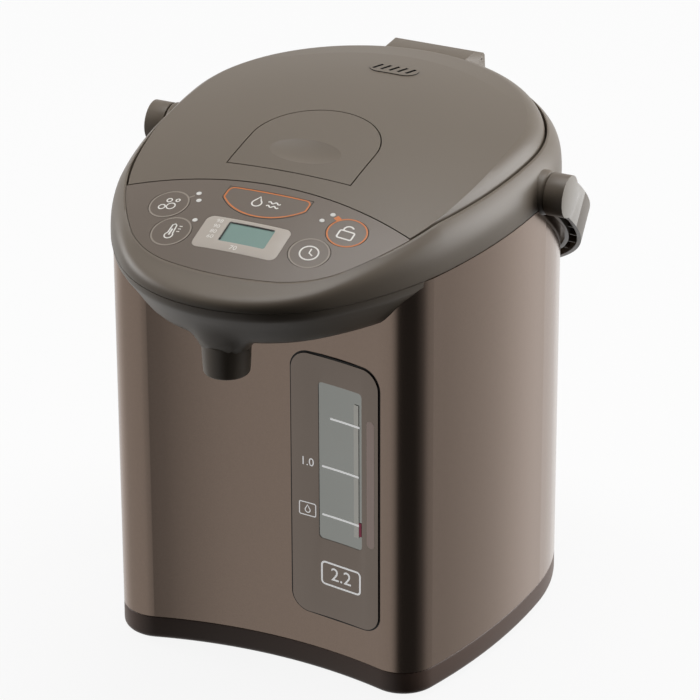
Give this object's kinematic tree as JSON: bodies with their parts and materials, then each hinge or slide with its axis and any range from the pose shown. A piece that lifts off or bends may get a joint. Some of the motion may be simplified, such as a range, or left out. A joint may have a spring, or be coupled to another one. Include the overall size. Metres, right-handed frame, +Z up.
{
  "type": "electric thermo pot",
  "caption": "Electric hot water pot with hinged lid and lid lever, folding bail handle, push-button panel, pumped spout and level window.",
  "frame": {"origin": "on the surface it stands on, under the middle of its whole box with the handle at rest; the inner vessel's axis is 24.12 mm behind it", "axes": "+Z up, the spout and the control panel face -Y, +X is the level window's side"},
  "size_m": [0.213, 0.2778, 0.25],
  "materials": {
    "shell_taupe": "fine satin taupe plastic",
    "sleeve_bronze": "metallic brown paint on steel sheet, satin",
    "base_brown": "dark brown moulded plastic",
    "button_taupe": "satin taupe plastic with printed outline",
    "trim_light": "light taupe plastic frame",
    "clear": "clear moulded plastic",
    "display": "grey-green display glass",
    "dark_plastic": "dark plastic",
    "inner_white": "natural white moulded plastic",
    "silicone": "translucent white silicone",
    "foot_rubber": "black rubber",
    "steel": "bright steel",
    "board": "green circuit board",
    "heater_metal": "cast aluminium"
  },
  "bodies": {
    "pot": {"bottom_plate": "base_brown", "foot_front_left": "foot_rubber", "foot_front_right": "foot_rubber", "foot_rear_left": "foot_rubber", "foot_rear_right": "foot_rubber", "base_ring": "base_brown", "body_sleeve": "sleeve_bronze", "shoulder_ring": "shell_taupe", "nozzle_cover": "shell_taupe", "control_panel": "shell_taupe", "lcd_bezel": "trim_light", "lcd_glass": "display", "light_guide_left": "clear", "light_guide_right": "clear", "control_board": "board", "hinge_pin": "steel", "pivot_pin_left": "steel", "pivot_pin_right": "steel", "window_frame": "base_brown", "window_glass": "display", "level_chamber": "clear", "vessel": "steel", "vessel_seal": "silicone", "heater": "heater_metal", "band_heater": "heater_metal", "thermostat": "steel", "drain_tube": "silicone", "pump_case": "inner_white", "motor": "steel", "riser_tube": "silicone", "delivery_tube": "silicone", "power_board": "board", "power_inlet": "dark_plastic"},
    "lid": {"lid_shell": "shell_taupe", "lid_base": "inner_white", "lid_gasket": "silicone", "lever_pin": "steel", "steam_vent": "dark_plastic", "hinge_block": "shell_taupe"},
    "lever": {"lid_lever": "shell_taupe"},
    "latch": {"latch_bolt": "dark_plastic"},
    "bail": {"handle": "shell_taupe"},
    "dispense_key": {"dispense_button": "button_taupe"},
    "unlock_key": {"unlock_button": "button_taupe"},
    "timer_key": {"timer_button": "button_taupe"},
    "boil_key": {"boil_button": "button_taupe"},
    "warm_key": {"warm_button": "button_taupe"},
    "rotor": {"drive_magnet": "dark_plastic"},
    "pump_wheel": {"impeller": "inner_white"}
  },
  "joints": [
    {"name": "lid_hinge", "type": "hinge", "parent": "pot", "child": "lid", "pos_m": [0, 0.11412, 0.237], "axis": [-1, 0, 0], "range_deg": [0, 80]},
    {"name": "lever_pivot", "type": "hinge", "parent": "lid", "child": "lever", "pos_m": [0, -0.02588, 0.239], "axis": [1, 0, 0], "range_deg": [0, 13], "stiffness_Nm_per_rad": 0.3, "springref_deg": -8.59},
    {"name": "latch_slide", "type": "slide", "parent": "lid", "child": "latch", "axis": [0, 1, 0], "range_m": [-0.0036, 0]},
    {"name": "handle_pivot", "type": "hinge", "parent": "pot", "child": "bail", "pos_m": [0, 0.02412, 0.2195], "axis": [1, 0, 0], "range_deg": [0, 128]},
    {"name": "dispense_press", "type": "slide", "parent": "pot", "child": "dispense_key", "axis": [0, 0.2742, -0.9617], "range_m": [0, 0.0006], "stiffness_N_per_m": 900},
    {"name": "unlock_press", "type": "slide", "parent": "pot", "child": "unlock_key", "axis": [0, 0.2742, -0.9617], "range_m": [0, 0.0006], "stiffness_N_per_m": 700},
    {"name": "timer_press", "type": "slide", "parent": "pot", "child": "timer_key", "axis": [0, 0.2742, -0.9617], "range_m": [0, 0.0006], "stiffness_N_per_m": 700},
    {"name": "boil_press", "type": "slide", "parent": "pot", "child": "boil_key", "axis": [0, 0.2742, -0.9617], "range_m": [0, 0.0006], "stiffness_N_per_m": 700},
    {"name": "warm_press", "type": "slide", "parent": "pot", "child": "warm_key", "axis": [0, 0.2742, -0.9617], "range_m": [0, 0.0006], "stiffness_N_per_m": 700},
    {"name": "motor_spin", "type": "hinge", "parent": "pot", "child": "rotor", "pos_m": [0, -0.02188, 0.028], "axis": [0, 0, 1], "continuous": true},
    {"name": "impeller_spin", "type": "hinge", "parent": "pot", "child": "pump_wheel", "pos_m": [0, -0.02188, 0.036], "axis": [0, 0, 1], "continuous": true}
  ],
  "couplings": [
    {"joint": "impeller_spin", "follows": "motor_spin", "ratio": 1}
  ]
}
